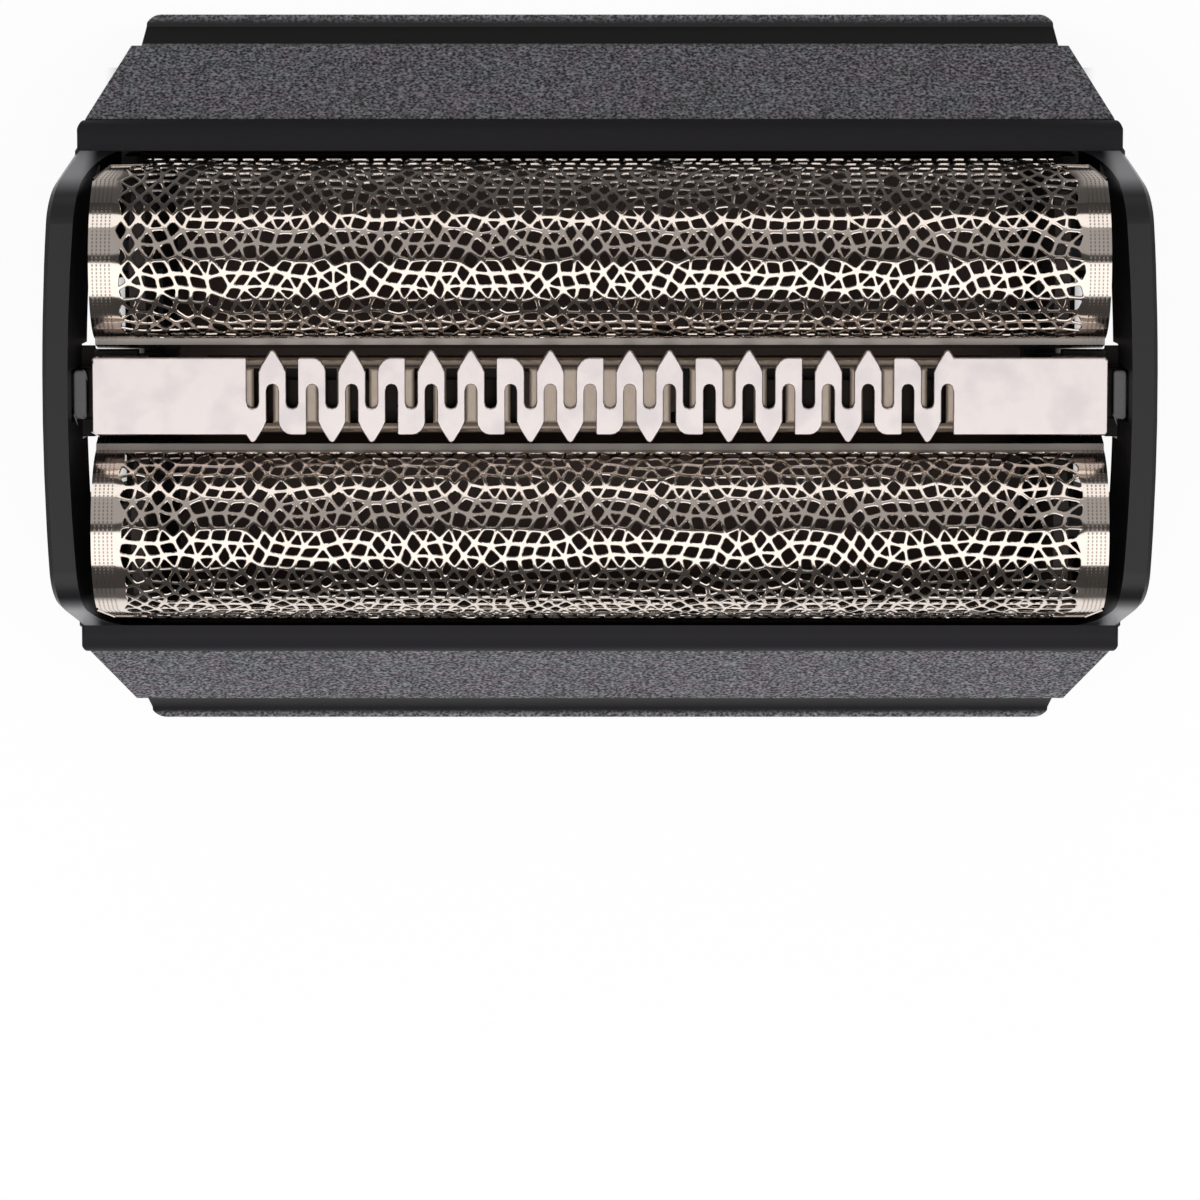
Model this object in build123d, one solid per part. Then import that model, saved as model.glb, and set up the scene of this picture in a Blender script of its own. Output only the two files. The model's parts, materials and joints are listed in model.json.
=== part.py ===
"""Shaver foil head: a clip-on frame with two floating foils and a sprung trimmer between them."""

from build123d import *
import os
from math import cos, radians, sin, tan

# Frame: X runs along the foils, Y across them, Z up, with the origin in the middle of the bottom rim.
# All lengths are in millimetres and all angles in degrees.

# Heights of the frame
skirt_height = 2.65
lip_foot_height = 9.35
lip_height = 10.7
ear_height = 15.3
ledge_height = 7.8

# Long sides
foot_half_width = 19.4
skirt_foot_inset = 0.65
skirt_foot_height = 0.45
skirt_flare = 1.3
panel_half_width = foot_half_width - skirt_flare
panel_thickness = 1.25
panel_setback = 0.35
lip_foot_half_width = 14.3
lip_half_width = 12.65
lip_land = 0.35
lip_wall = 0.95
lip_bulge = 0.3
panel_step = 0.12
panel_bottom_round = 0.35
panel_corner_round = 0.7
lip_corner_round = 0.25
skirt_corner_round = 0.9
skirt_draft = 0.15
rail_thickness = 1.3
ledge_inner = 11.8
ledge_thickness = 0.9

# Panel pegs and the stops that keep the foils in
peg_half_width = 0.5
peg_clearance = 0.03
peg_length = 0.9
peg_height = 4.9
peg_positions = (-18.0, 0.0, 18.0)
stop_positions = (-15.0, 15.0)
stop_length = 5.0

# Ends
end_half_length = 27.7
end_lean = 17.35
end_wall = 1.3
window_half_width = 5.7
window_sill = 2.3
ear_lean = 11.3
ear_bow = 0.53
ear_foot_height = 10.6
ear_wall = 0.5
ear_inner_half_length = end_half_length - ear_wall
ear_inner_bow = 0.7
ear_inner_lean = 7.0
ear_side_lean = 22.4
ear_shoulder_round = 2.4
ear_inner_round = 1.6
ear_edge_bevel = 0.28
spring_post_half_width = 1.1
spring_post_depth = 1.5
spring_post_setback = 2.5
spring_post_outer = end_half_length - spring_post_setback
spring_post_height = 8.8

# Foils
foil_pitch = 14.2
foil_radius = 4.2
foil_axis_rise = 4.8
foil_axis_height = ledge_height + foil_axis_rise
foil_thickness = 0.1
foil_end_gap = 1.2
foil_half_length = end_half_length - foil_end_gap
foil_edge_rise = 0.8
foil_edge_height = ledge_height + foil_edge_rise
foil_outer_tail = 5.3
foil_inner_tail = 4.72
foil_outer_flare = 20.0
foil_inner_flare = 12.0
foil_tab_inset = 2.1
foil_tab_half_length = foil_half_length - foil_tab_inset
foil_corner_rise = 1.0
foil_corner_height = foil_axis_height + foil_corner_rise
foil_corner_drop = 1.55
foil_corner_low_height = foil_corner_height - foil_corner_drop
foil_corner_inset = 0.8
hole_half_length = 1.85
hole_half_width = 0.98
hole_pitch = 4.2
hole_end_margin = 1.0
hole_columns = int(2 * (foil_half_length - hole_end_margin) / hole_pitch)
hole_row_angles = (-56.0, -22.0, 12.0, 46.0)
flank_row_rise = 0.15
flank_row_height = foil_axis_height + flank_row_rise

# Foil carriers and clamp strips
carrier_rail_height = 2.0
carrier_end_gap = 2.5
carrier_end_x = end_half_length - carrier_end_gap
carrier_end_depth = 1.6
carrier_outer_rail = 0.75
carrier_inner_rail = 0.6
former_thickness = 0.8
former_gap = 0.03
strip_thickness = 0.34
strip_height = 1.4
strip_end_inset = 1.6
strip_half_length = carrier_end_x - strip_end_inset
inner_strip_end_inset = 0.3
inner_strip_half_length = foil_half_length - inner_strip_end_inset
guide_half_width = 0.8
guide_foot_height = 3.0
guide_clearance = 0.15
guide_depth = 0.6
foil_lift = 0.8
stop_clearance = 0.05

# Trimmer comb
comb_top = 14.2
comb_thickness = 0.3
comb_end_gap = 1.1
comb_half_length = end_half_length - comb_end_gap
comb_half_width = 2.035
comb_pitch = 2.08
comb_slot_count = 18
comb_slot_width = 0.62
comb_slot_reach = 0.63
comb_tip_reach = 2.44
comb_shoulder = 1.3
comb_corner_round = 0.18
comb_tab_length = 2.4
comb_tab_height = 0.8

# Trimmer carrier
beam_half_width = 1.55
beam_bottom = 11.2
beam_top = 13.0
block_half_width = 1.9
wing_half_width = 2.25
wing_bottom = 11.6
comb_overhang = 0.5
block_outer_x = comb_half_length - comb_overhang
block_length = 3.4
block_inner_x = block_outer_x - block_length
wing_length = 1.8
wing_start = block_outer_x - wing_length
lug_half_width = 1.28
lug_top = 13.6
lug_slot_depth = 0.52
lug_slot_floor = ear_inner_half_length + lug_slot_depth
lug_end_clearance = 0.1
lug_tip = lug_slot_floor - lug_end_clearance
lug_length = 0.67
lug_start = lug_tip - lug_length
lug_corner_round = 0.2
neck_top = 12.7
foot_top = 11.8
foot_length = 0.97
foot_start = lug_tip - foot_length
foot_half_reach = 2.4
lug_clearance = 0.12

# Drive shoe and rivets
shoe_half_length = 2.6
shoe_half_width = 1.0
shoe_web_bottom = 12.0
shoe_bottom = 10.9
fork_gap = 2.0
fork_prong = 1.1
stroke = 1.2
stroke_clearance = 0.2
rivet_radius = 0.35
rivet_x = 1.8
rivet_depth = 1.5

# Trimmer blade
blade_gap = 0.02
blade_end_gap = 0.9
blade_half_length = block_inner_x - stroke - blade_end_gap
blade_half_width = 2.0
blade_thickness = 0.22
blade_shoulder_round = 0.5
blade_height = 1.25
blade_bar_pitch = 1.68
blade_bar_width = 0.68
blade_slot_half_width = 1.45
blade_plain_bars = 2
blade_end_land = 2.0
blade_last_bar = int((blade_half_length - blade_end_land) / blade_bar_pitch)

# Springs
blade_spring_thickness = 0.12
blade_spring_half_width = 0.8
blade_spring_start = 5.2
blade_spring_end_gap = 1.4
blade_spring_end = blade_half_length - blade_spring_end_gap
trimmer_spring_thickness = 0.15
trimmer_spring_half_width = 0.8
trimmer_spring_reach = 1.3

os.makedirs("parts", exist_ok=True)


def across(points, start, end):
    # Outline of (y, z) points carried along X.
    face = make_face(Polyline(*points, close=True))
    return extrude(Plane((start, 0, 0), x_dir=(0, 1, 0), z_dir=(1, 0, 0)) * face, amount=end - start)


def along(face, half):
    # Face drawn in x and z carried both ways along Y.
    return extrude(Plane.XZ * face, amount=half, both=True)


def block(x, y, z):
    # Box between pairs of limits.
    size = [abs(pair[1] - pair[0]) for pair in (x, y, z)]
    middle = [(pair[0] + pair[1]) / 2 for pair in (x, y, z)]
    return Pos(*middle) * Box(*size)


def both_ends(shape):
    return shape + mirror(shape, about=Plane.YZ)


def both_sides(shape):
    return shape + mirror(shape, about=Plane.XZ)


def end_x(z):
    # Outer face of the end walls, which lean out going up.
    return end_half_length + (z - lip_height) * tan(radians(end_lean))


def panel_y(z):
    # Outer face of the side panel.
    share = (z - skirt_height) / (lip_foot_height - skirt_height)
    return panel_half_width + share * (lip_foot_half_width - panel_half_width)


def panel_inner_y(z):
    return panel_y(z) - panel_thickness


def end_outline(low, high, low_round, high_round):
    # The leaning ends as one outline in x and z, with rounded corners.
    face = make_face(
        Polyline(
            (-end_x(low), low), (end_x(low), low), (end_x(high), high), (-end_x(high), high), close=True
        )
    )
    rows = face.vertices().group_by(Axis.Y)
    if low_round:
        face = fillet(rows[0], low_round)
    rows = face.vertices().group_by(Axis.Y)
    if high_round:
        face = fillet(rows[-1], high_round)
    return face


# Side panel with its lip
lip_crest = (lip_half_width + lip_land, lip_height)
lip_foot = (lip_foot_half_width - panel_step, lip_foot_height)
lip_middle = (
    (lip_crest[0] + lip_foot[0]) / 2 + lip_bulge,
    (lip_crest[1] + lip_foot[1]) / 2 + lip_bulge,
)
panel_rim = (lip_foot_half_width, lip_foot_height - panel_step)
panel_lines = [
    Line((lip_half_width, lip_height), lip_crest),
    ThreePointArc(lip_crest, lip_middle, lip_foot),
    Polyline(
        lip_foot,
        panel_rim,
        (panel_half_width, skirt_height),
        (panel_half_width - panel_thickness, skirt_height),
        (panel_inner_y(ledge_height), ledge_height),
        (lip_foot_half_width - lip_wall, lip_foot_height),
        (lip_half_width, lip_height),
    ),
]
panel_face = make_face(panel_lines)
panel_foot = panel_face.vertices().sort_by_distance((panel_half_width, skirt_height, 0))[0]
panel_face = fillet(panel_foot, panel_bottom_round)
panel_plane = Plane((-40, 0, 0), x_dir=(0, 1, 0), z_dir=(1, 0, 0))
rear_panel = extrude(panel_plane * panel_face, amount=80)
rear_panel &= along(end_outline(skirt_height, lip_height, panel_corner_round, lip_corner_round), 40)

peg_wall = panel_inner_y(peg_height)
pegs = Part()
peg_holes = Part()
for x in peg_positions:
    pegs += block(
        (x - peg_half_width, x + peg_half_width),
        (peg_wall - peg_length, peg_wall + panel_thickness / 2),
        (peg_height - peg_half_width, peg_height + peg_half_width),
    )
    hole_half = peg_half_width + peg_clearance
    peg_holes += block(
        (x - hole_half, x + hole_half),
        (peg_wall - peg_length - peg_clearance, peg_wall + peg_length),
        (peg_height - hole_half, peg_height + hole_half),
    )

# Foil outlines in u and z, with u = 0 on the foil axis and growing to the outside
strip_top = ledge_height + strip_height
foil_axis_y = foil_pitch / 2
strip_outer_y = foil_axis_y + foil_outer_tail + strip_thickness
stop_height = strip_top + foil_lift + stop_clearance


def foil_face(inset):
    # Everything under the foil's outer surface, moved in by the inset.
    radius = foil_radius - inset
    outer_u = radius * cos(radians(foil_outer_flare))
    outer_z = foil_axis_height + radius * sin(radians(foil_outer_flare))
    inner_u = radius * cos(radians(foil_inner_flare))
    inner_z = foil_axis_height + radius * sin(radians(foil_inner_flare))
    outer_knee = outer_z - (foil_outer_tail - inset - outer_u) / tan(radians(foil_outer_flare))
    inner_knee = inner_z - (foil_inner_tail - inset - inner_u) / tan(radians(foil_inner_flare))
    start = (-(foil_inner_tail - inset), foil_edge_height)
    end = (foil_outer_tail - inset, foil_edge_height)
    top = (0, foil_axis_height + radius)
    lines = [
        Polyline(start, (-(foil_inner_tail - inset), inner_knee), (-inner_u, inner_z)),
        ThreePointArc((-inner_u, inner_z), top, (outer_u, outer_z)),
        Polyline((outer_u, outer_z), (foil_outer_tail - inset, outer_knee), end, start),
    ]
    return make_face(lines)


def carry(face, start, end):
    # Foil outline set on the rear foil's axis and carried along X.
    plane = Plane((start, foil_axis_y, 0), x_dir=(0, 1, 0), z_dir=(1, 0, 0))
    return extrude(plane * face, amount=end - start)


# Stops under the panel lip, over the outer clamp strips
stop_wall = lip_foot_half_width - lip_wall
stop_outline = [
    (strip_outer_y - strip_thickness + 0.12, stop_height),
    (stop_wall + 0.1, stop_height - 0.55),
    (stop_wall + 0.1, lip_foot_height),
    (strip_outer_y - strip_thickness + 0.12, stop_height + 0.3),
]
for x in stop_positions:
    rear_panel += across(stop_outline, x - stop_length / 2, x + stop_length / 2)
rear_panel += pegs

# Chassis: rails and skirt along the long sides
rail_outline = [
    (foot_half_width - rail_thickness, 0),
    (foot_half_width, 0),
    (foot_half_width - skirt_foot_inset, skirt_foot_height),
    (panel_half_width - panel_setback, skirt_height),
    (panel_half_width - panel_thickness, skirt_height),
    (panel_inner_y(ledge_height), ledge_height),
    (ledge_inner, ledge_height),
    (ledge_inner, ledge_height - ledge_thickness),
    (panel_inner_y(ledge_height - ledge_thickness) - rail_thickness, ledge_height - ledge_thickness),
    (panel_half_width - panel_thickness - rail_thickness, skirt_height),
]
# The ends of the skirt are almost upright and set back under the panels; the walls above them lean out.
skirt_end = end_x(skirt_height) - panel_setback
end_points = [
    (skirt_end - skirt_draft, 0),
    (skirt_end, skirt_height),
    (end_x(skirt_height), skirt_height),
    (end_x(lip_height), lip_height),
]
end_points += [(-x, z) for x, z in reversed(end_points)]
frame_ends = along(make_face(Polyline(*end_points, close=True)), 40)
chassis = both_sides(across(rail_outline, -40, 40) & frame_ends)

# Chassis: end walls with the latch windows, and a post for the trimmer spring in each
wall_outline = [
    (0, 0),
    (foot_half_width - 0.2, 0),
    (foot_half_width - skirt_foot_inset, skirt_foot_height),
    (panel_half_width - panel_setback, skirt_height),
    (panel_half_width - panel_thickness, skirt_height),
    (panel_inner_y(ledge_height), ledge_height),
    (lip_foot_half_width - lip_wall, lip_foot_height),
    (lip_half_width, lip_height),
    (0, lip_height),
]
inner_ends = make_face(
    Polyline(
        (-(end_x(-1) - end_wall), -1),
        (end_x(-1) - end_wall, -1),
        (end_x(20) - end_wall, 20),
        (-(end_x(20) - end_wall), 20),
        close=True,
    )
)
walls = both_sides(across(wall_outline, -40, 40)) & frame_ends
walls -= along(inner_ends, 40)
walls -= block((-40, 40), (-window_half_width, window_half_width), (window_sill, 20))
post = block(
    (spring_post_outer - spring_post_depth, spring_post_outer),
    (-spring_post_half_width, spring_post_half_width),
    (0, spring_post_height),
)
sill = block((end_x(0) - end_wall, spring_post_outer), (-2.2, 2.2), (0, window_sill))
post = (post + sill) & along(
    make_face(Polyline((0, 0), (end_x(0), 0), (end_x(20), 20), (0, 20), close=True)), 40
)
walls += both_ends(post)

# Chassis: guide ribs for the foil carriers
rib = block(
    (carrier_end_x - guide_depth + guide_clearance, end_x(lip_height) - 0.4),
    (foil_axis_y - guide_half_width, foil_axis_y + guide_half_width),
    (guide_foot_height, ear_foot_height),
)
rib &= along(
    make_face(
        Polyline((0, 0), (end_x(0) - 0.4, 0), (end_x(20) - 0.4, 20), (0, 20), close=True)
    ),
    40,
)
walls += both_sides(both_ends(rib))
chassis += walls
skirt_plan = Rectangle(2 * skirt_end, 2 * foot_half_width)
skirt_plan = fillet(skirt_plan.vertices(), skirt_corner_round)
chassis -= extrude(Rectangle(80, 80) - skirt_plan, amount=skirt_height)

# Chassis: ears
ear_rise = ear_height + 2 - ear_foot_height
ear_plan = make_face(
    [
        ThreePointArc(
            (end_half_length, -lip_half_width),
            (end_half_length + ear_bow, 0),
            (end_half_length, lip_half_width),
        ),
        Polyline(
            (end_half_length, lip_half_width),
            (20, lip_half_width),
            (20, -lip_half_width),
            (end_half_length, -lip_half_width),
        ),
    ]
)
opening_half_width = lip_half_width + 0.001
opening_corner = (ear_inner_half_length - ear_inner_bow, opening_half_width)
opening_plan = make_face(
    [
        ThreePointArc(
            (opening_corner[0], -opening_half_width), (ear_inner_half_length, 0), opening_corner
        ),
        Polyline(
            opening_corner,
            (-opening_corner[0], opening_half_width),
            (-opening_corner[0], -opening_half_width),
            (opening_corner[0], -opening_half_width),
        ),
    ]
)
opening_plan = fillet(opening_plan.vertices(), ear_inner_round)
ear = extrude(
    Pos(0, 0, ear_foot_height) * ear_plan,
    amount=ear_rise / cos(radians(ear_lean)),
    dir=(sin(radians(ear_lean)), 0, cos(radians(ear_lean))),
)
opening = extrude(
    Pos(0, 0, ear_foot_height) * opening_plan,
    amount=ear_rise / cos(radians(ear_inner_lean)),
    dir=(sin(radians(ear_inner_lean)), 0, cos(radians(ear_inner_lean))),
)
ear -= opening
ear_top = lip_half_width - (ear_height - lip_height) * tan(radians(ear_side_lean))
ear_face = make_face(
    Polyline(
        (-lip_half_width, ear_foot_height - 0.001),
        (lip_half_width, ear_foot_height - 0.001),
        (lip_half_width, lip_height),
        (ear_top, ear_height),
        (-ear_top, ear_height),
        (-lip_half_width, lip_height),
        close=True,
    )
)
ear_face = fillet(ear_face.vertices().group_by(Axis.Y)[-1], ear_shoulder_round)
ear_plane = Plane((0, 0, 0), x_dir=(0, 1, 0), z_dir=(1, 0, 0))
ear &= extrude(ear_plane * ear_face, amount=40)
outer_face = ear.faces().sort_by(Axis.X)[-1]
ear = chamfer([edge for edge in outer_face.edges() if edge.center().Z > lip_height], ear_edge_bevel)
slot_half = lug_half_width + lug_clearance
foot_half = foot_half_reach + lug_clearance
ear -= block((20, lug_slot_floor), (-slot_half, slot_half), (foot_top, 20))
ear -= block((20, lug_slot_floor), (-foot_half, foot_half), (0, foot_top + blade_gap))
chassis += both_ends(ear)
chassis -= both_sides(peg_holes)

# Foils
foil = carry(foil_face(0), -foil_half_length, foil_half_length)
foil -= carry(foil_face(foil_thickness), -40, 40)
# Only the outer flank is cut back at its corners.
crest_plane = Plane.XZ.offset(-foil_axis_y)
corner = make_face(
    Polyline(
        (foil_half_length + 1, 0),
        (foil_half_length + 1, foil_corner_height),
        (foil_half_length, foil_corner_height),
        (foil_half_length - foil_corner_inset, foil_corner_low_height),
        (foil_tab_half_length, foil_corner_low_height - 0.1),
        (foil_tab_half_length, 0),
        close=True,
    )
)
foil -= both_ends(extrude(crest_plane * corner, amount=-40))
hole_waist = hole_half_length - hole_half_width / tan(radians(52))
hole_face = make_face(
    Polyline(
        (hole_half_length, 0),
        (hole_waist, hole_half_width),
        (-hole_waist, hole_half_width),
        (-hole_half_length, 0),
        (-hole_waist, -hole_half_width),
        (hole_waist, -hole_half_width),
        close=True,
    )
)
hole = extrude(Pos(0, 0, foil_radius - 1) * hole_face, amount=2)
tools = []
for row, angle in enumerate(hole_row_angles):
    count = hole_columns - row % 2
    turn = Pos(0, foil_axis_y, foil_axis_height) * Rot(X=-angle)
    tools += [turn * Pos((column - (count - 1) / 2) * hole_pitch, 0) * hole for column in range(count)]
# The last row sits on the flat outer flank, square to it.
flank_turn = 90 - foil_outer_flare
flank_drop = (foil_axis_height - flank_row_height) / cos(radians(foil_outer_flare))
flank_drop += foil_radius * tan(radians(foil_outer_flare))
flank_place = Pos(0, foil_axis_y, foil_axis_height) * Rot(X=-flank_turn) * Pos(0, flank_drop)
for column in range(hole_columns):
    tools.append(flank_place * Pos((column - (hole_columns - 1) / 2) * hole_pitch, 0) * hole)
rear_foil = foil - tools

# Foil carrier: rails under the two edges, end bars and formers under the arch
carrier_top = ledge_height + carrier_rail_height
outer_face = foil_outer_tail - foil_thickness
inner_face = foil_inner_tail - foil_thickness
outer_rail = block(
    (-carrier_end_x, carrier_end_x),
    (foil_axis_y + outer_face - carrier_outer_rail, foil_axis_y + outer_face),
    (ledge_height, carrier_top),
)
inner_rail = block(
    (-carrier_end_x, carrier_end_x),
    (foil_axis_y - inner_face, foil_axis_y - inner_face + carrier_inner_rail),
    (ledge_height, carrier_top),
)
end_bar = block(
    (carrier_end_x - carrier_end_depth, carrier_end_x),
    (foil_axis_y - inner_face, foil_axis_y + outer_face),
    (ledge_height, carrier_top),
)
former = carry(
    foil_face(foil_thickness + former_gap),
    carrier_end_x - carrier_end_depth,
    carrier_end_x - carrier_end_depth + former_thickness,
)
former &= block((0, 40), (-40, 40), (carrier_top - 0.01, 40))
notch = block(
    (carrier_end_x - guide_depth, 40),
    (
        foil_axis_y - guide_half_width - guide_clearance,
        foil_axis_y + guide_half_width + guide_clearance,
    ),
    (0, carrier_top + 0.001),
)
rear_foil_carrier = outer_rail + inner_rail + both_ends(end_bar + former - notch)
rear_foil_carrier -= both_ends(notch)

# Clamp strips
rear_outer_strip = block(
    (-strip_half_length, strip_half_length),
    (strip_outer_y - strip_thickness, strip_outer_y),
    (ledge_height, strip_top),
)
inner_strip_y = foil_axis_y - foil_inner_tail
rear_inner_strip = block(
    (-inner_strip_half_length, inner_strip_half_length),
    (inner_strip_y - strip_thickness, inner_strip_y),
    (ledge_height, strip_top),
)

# Trimmer comb: pointed and blunt teeth, the same when turned half round
tooth_half = (comb_pitch - comb_slot_width) / 2
rise = comb_tip_reach - comb_shoulder
pointed = make_face(
    Polyline(
        (-tooth_half, 0),
        (tooth_half, 0),
        (tooth_half, comb_shoulder),
        (0.76 * tooth_half, comb_shoulder + 0.36 * rise),
        (0.2 * tooth_half, comb_shoulder + 0.93 * rise),
        (0, comb_tip_reach),
        (-0.2 * tooth_half, comb_shoulder + 0.93 * rise),
        (-0.76 * tooth_half, comb_shoulder + 0.36 * rise),
        (-tooth_half, comb_shoulder),
        close=True,
    )
)
shoulder = comb_half_width - comb_shoulder
blunt = make_face(
    Polyline(
        (-tooth_half, 0),
        (tooth_half, 0),
        (tooth_half, comb_shoulder),
        (0.92 * tooth_half, comb_shoulder + 0.38 * shoulder),
        (0.7 * tooth_half, comb_shoulder + 0.72 * shoulder),
        (0.4 * tooth_half, comb_shoulder + 0.93 * shoulder),
        (0.1 * tooth_half, comb_half_width),
        (-tooth_half, comb_half_width),
        close=True,
    )
)
tooth_order = "prplpprplpprplppr"
first_slot = -(comb_slot_count / 2 - 0.25) * comb_pitch
plate_edge = -first_slot - 0.5 * comb_slot_width
comb_half = Pos(-(plate_edge + comb_half_length) / 2, 0) * Rectangle(
    comb_half_length - plate_edge, 2 * comb_half_width
)
outer_corners = comb_half.vertices().group_by(Axis.X)[0]
comb_half = fillet(outer_corners, comb_corner_round)
for number, kind in enumerate(tooth_order):
    place = Pos(first_slot + (number + 0.5) * comb_pitch, 0)
    if kind == "p":
        comb_half += place * pointed
    if kind == "r":
        comb_half += place * blunt
    if kind == "l":
        comb_half += place * mirror(blunt, about=Plane.YZ)
last_tooth = Pos(first_slot + (comb_slot_count - 0.5) * comb_pitch, 0)
comb_half += last_tooth * pointed
comb_face = comb_half + Rot(Z=180) * comb_half
comb_face += Rectangle(2 * plate_edge + 1, 2 * comb_slot_reach + 1.1)
slot_centre = comb_slot_width / 2 - comb_slot_reach
slot = Pos(0, slot_centre + 1.5) * Rectangle(comb_slot_width, 3)
slot += Pos(0, slot_centre) * RegularPolygon(comb_slot_width / 2, 12)
slots = [Pos(first_slot + number * comb_pitch, 0) * slot for number in range(comb_slot_count)]
slots += [Rot(Z=180) * one for one in slots]
comb_face -= slots
comb_foot = comb_top - comb_thickness
trimmer_comb = extrude(Pos(0, 0, comb_foot) * comb_face, amount=comb_thickness)
tab = block(
    (block_outer_x - comb_tab_length, block_outer_x),
    (block_half_width, comb_half_width),
    (comb_foot - comb_tab_height, comb_foot),
)
trimmer_comb += both_ends(both_sides(tab))

# Trimmer blade: slotted channel that slides under the comb
blade_top = comb_foot - blade_gap
blade_foot = blade_top - blade_height


def channel(inset, round_radius):
    half = blade_half_width - inset
    face = make_face(
        Polyline(
            (-half, blade_foot), (half, blade_foot), (half, blade_top - inset), (-half, blade_top - inset), close=True
        )
    )
    return fillet(face.vertices().group_by(Axis.Y)[-1], round_radius)


blade_plane = Plane((-blade_half_length, 0, 0), x_dir=(0, 1, 0), z_dir=(1, 0, 0))
inner_round = blade_shoulder_round - blade_thickness
trimmer_blade = extrude(
    blade_plane * (channel(0, blade_shoulder_round) - channel(blade_thickness, inner_round)),
    amount=2 * blade_half_length,
)
slot_half_x = (blade_bar_pitch - blade_bar_width) / 2
gaps = []
for number in range(blade_plain_bars, blade_last_bar):
    x = (number + 0.5) * blade_bar_pitch
    gap = block(
        (x - slot_half_x, x + slot_half_x), (-blade_slot_half_width, blade_slot_half_width), (blade_top - 0.5, 20)
    )
    gaps += [gap, mirror(gap, about=Plane.YZ)]
trimmer_blade -= gaps
blade_under = blade_top - blade_thickness

# Drive shoe: a fork under the middle of the blade, held by two rivets
rivet = Pos(rivet_x, 0, blade_top) * Cylinder(
    rivet_radius, rivet_depth, align=(Align.CENTER, Align.CENTER, Align.MAX)
)
rivets = both_ends(rivet)
trimmer_blade -= rivets
drive_shoe = block(
    (-shoe_half_length, shoe_half_length), (-shoe_half_width, shoe_half_width), (shoe_web_bottom, blade_under)
)
prong = block(
    (fork_gap / 2, fork_gap / 2 + fork_prong), (-shoe_half_width, shoe_half_width), (shoe_bottom, shoe_web_bottom)
)
drive_shoe += both_ends(prong)
drive_shoe -= rivets
shoe_rivets = Compound([rivet, mirror(rivet, about=Plane.YZ)])

# Trimmer carrier: beam, end blocks and lugs
carrier = block((-block_outer_x, block_outer_x), (-beam_half_width, beam_half_width), (beam_bottom, beam_top))
end_block = block(
    (block_inner_x, block_outer_x), (-block_half_width, block_half_width), (beam_bottom, comb_foot)
)
wing = block((wing_start, foot_start), (-wing_half_width, wing_half_width), (wing_bottom, neck_top))
neck = block((block_outer_x, lug_tip - 0.2), (-lug_half_width, lug_half_width), (beam_bottom, neck_top))
lug = block((lug_start, lug_tip), (-lug_half_width, lug_half_width), (beam_bottom, lug_top))
lug = fillet(lug.edges().filter_by(Axis.Z), lug_corner_round)
foot = block((foot_start, lug_tip), (-foot_half_reach, foot_half_reach), (beam_bottom, foot_top))
trimmer_carrier = carrier + both_ends(end_block + wing + neck + lug + foot)
window_x = shoe_half_length + stroke + stroke_clearance
trimmer_carrier -= block(
    (-window_x, window_x), (-shoe_half_width - 0.15, shoe_half_width + 0.15), (0, 20)
)

# Blade springs: bowed strips between the beam and the blade
spring_middle = (blade_spring_start + blade_spring_end) / 2
crest = blade_under - blade_gap
bow = make_face(
    [
        ThreePointArc(
            (blade_spring_start, beam_top + blade_spring_thickness),
            (spring_middle, crest),
            (blade_spring_end, beam_top + blade_spring_thickness),
        ),
        Line((blade_spring_end, beam_top + blade_spring_thickness), (blade_spring_end, beam_top)),
        ThreePointArc(
            (blade_spring_end, beam_top),
            (spring_middle, crest - blade_spring_thickness),
            (blade_spring_start, beam_top),
        ),
        Line((blade_spring_start, beam_top), (blade_spring_start, beam_top + blade_spring_thickness)),
    ]
)
right_blade_spring = extrude(Plane.XZ * bow, amount=blade_spring_half_width, both=True)

# Trimmer springs: folded strips between the chassis posts and the carrier
fold_outer = (beam_bottom - spring_post_height) / 2
fold_inner = fold_outer - trimmer_spring_thickness
fold_x = spring_post_outer - spring_post_depth + fold_outer + 0.1
fold_z = (beam_bottom + spring_post_height) / 2
fold_tip = fold_x + trimmer_spring_reach - fold_outer + 0.6
fold = make_face(
    [
        Line((fold_tip, fold_z + fold_outer), (fold_x, fold_z + fold_outer)),
        ThreePointArc(
            (fold_x, fold_z + fold_outer), (fold_x - fold_outer, fold_z), (fold_x, fold_z - fold_outer)
        ),
        Polyline(
            (fold_x, fold_z - fold_outer),
            (fold_tip, fold_z - fold_outer),
            (fold_tip, fold_z - fold_inner),
            (fold_x, fold_z - fold_inner),
        ),
        ThreePointArc(
            (fold_x, fold_z - fold_inner), (fold_x - fold_inner, fold_z), (fold_x, fold_z + fold_inner)
        ),
        Polyline(
            (fold_x, fold_z + fold_inner), (fold_tip, fold_z + fold_inner), (fold_tip, fold_z + fold_outer)
        ),
    ]
)
right_trimmer_spring = extrude(Plane.XZ * fold, amount=trimmer_spring_half_width, both=True)

# Everything by its node name; the front pieces are the rear ones turned half round
half_turn = Rot(Z=180)
pieces = {
    "chassis": chassis,
    "rear_panel": rear_panel,
    "front_panel": half_turn * rear_panel,
    "rear_foil": rear_foil,
    "front_foil": half_turn * rear_foil,
    "rear_foil_carrier": rear_foil_carrier,
    "front_foil_carrier": half_turn * rear_foil_carrier,
    "rear_outer_strip": rear_outer_strip,
    "front_outer_strip": half_turn * rear_outer_strip,
    "rear_inner_strip": rear_inner_strip,
    "front_inner_strip": half_turn * rear_inner_strip,
    "trimmer_carrier": trimmer_carrier,
    "trimmer_comb": trimmer_comb,
    "trimmer_blade": trimmer_blade,
    "drive_shoe": drive_shoe,
    "shoe_rivets": shoe_rivets,
    "right_blade_spring": right_blade_spring,
    "left_blade_spring": half_turn * right_blade_spring,
    "right_trimmer_spring": right_trimmer_spring,
    "left_trimmer_spring": half_turn * right_trimmer_spring,
}
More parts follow.
